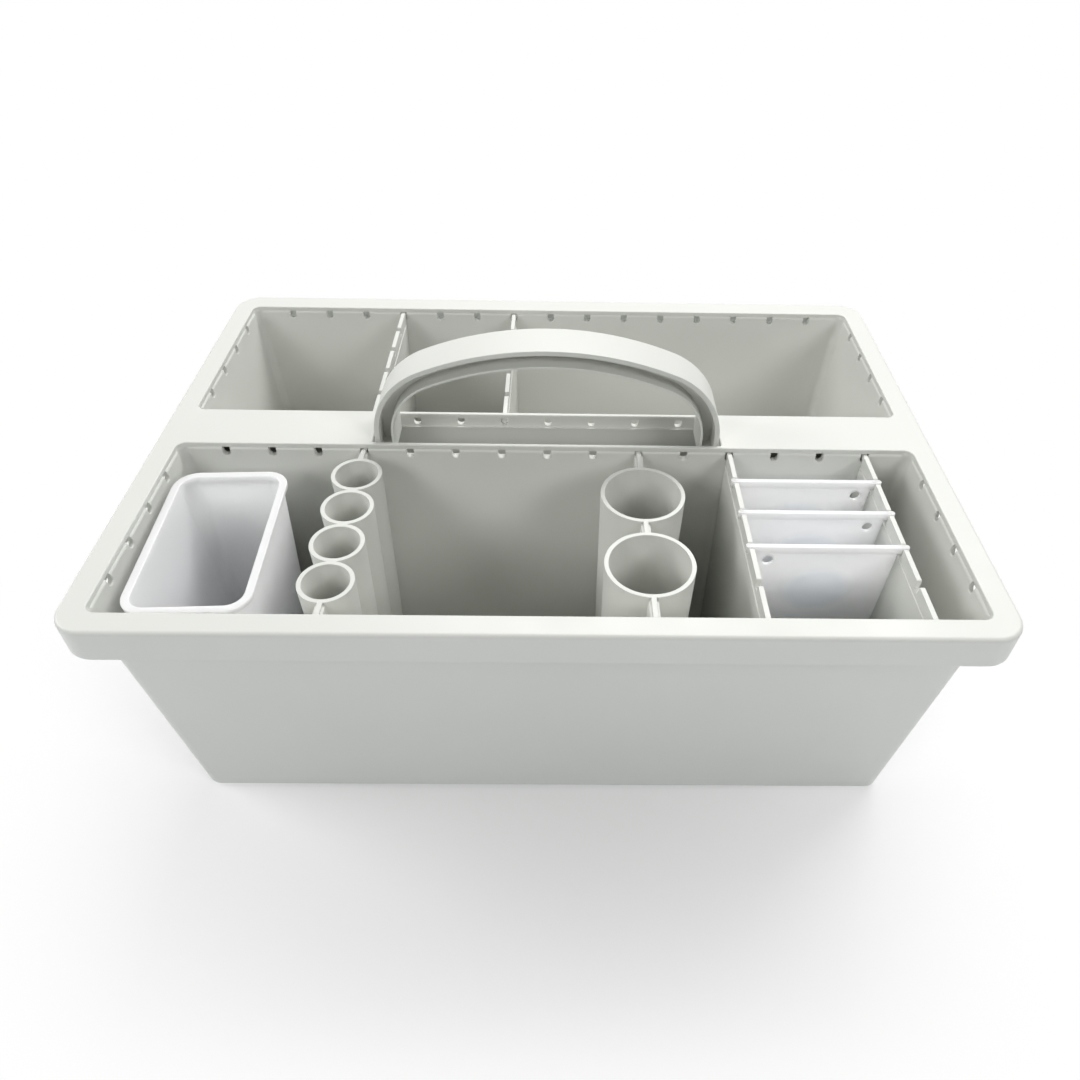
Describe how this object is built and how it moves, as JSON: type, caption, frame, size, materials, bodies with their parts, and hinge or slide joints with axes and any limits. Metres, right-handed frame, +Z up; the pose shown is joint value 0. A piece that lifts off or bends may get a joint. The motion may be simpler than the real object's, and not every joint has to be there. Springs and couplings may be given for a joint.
{
  "type": "tool storage caddy",
  "caption": "Two-pocket carry caddy for hobby tools, with a drop-down handle, snap-in dividers and tube holders, lift-out cross dividers and a lift-out cup.",
  "frame": {"origin": "middle of the base, on the surface that the caddy stands on", "axes": "+Z up, +X to the right seen from the front, +Y towards the back; the front with the cup and tube holders faces -Y"},
  "size_m": [0.4, 0.285, 0.2],
  "materials": {
    "body_plastic": "satin moulded polypropylene, warm off-white",
    "insert_plastic": "satin moulded polypropylene, clean white"
  },
  "bodies": {
    "tray": {"tray": "body_plastic", "four_tube_holder": "body_plastic", "two_tube_holder": "body_plastic", "front_divider_left": "body_plastic", "front_divider_right": "body_plastic", "rear_divider_left": "body_plastic", "rear_divider_right": "body_plastic"},
    "handle": {"handle": "body_plastic"},
    "cup": {"cup": "insert_plastic"},
    "cross_divider_front": {"cross_divider_front": "insert_plastic"},
    "cross_divider_middle": {"cross_divider_middle": "insert_plastic"},
    "cross_divider_back": {"cross_divider_back": "insert_plastic"}
  },
  "joints": [
    {"name": "handle_slide", "type": "slide", "parent": "tray", "child": "handle", "axis": [0, 0, 1], "range_m": [-0.05, 0]},
    {"name": "cup_lift", "type": "slide", "parent": "tray", "child": "cup", "axis": [0, 0, 1], "range_m": [0, 0.15]},
    {"name": "cross_front_lift", "type": "slide", "parent": "tray", "child": "cross_divider_front", "axis": [0, 0, 1], "range_m": [0, 0.14]},
    {"name": "cross_middle_lift", "type": "slide", "parent": "tray", "child": "cross_divider_middle", "axis": [0, 0, 1], "range_m": [0, 0.14]},
    {"name": "cross_back_lift", "type": "slide", "parent": "tray", "child": "cross_divider_back", "axis": [0, 0, 1], "range_m": [0, 0.14]}
  ]
}
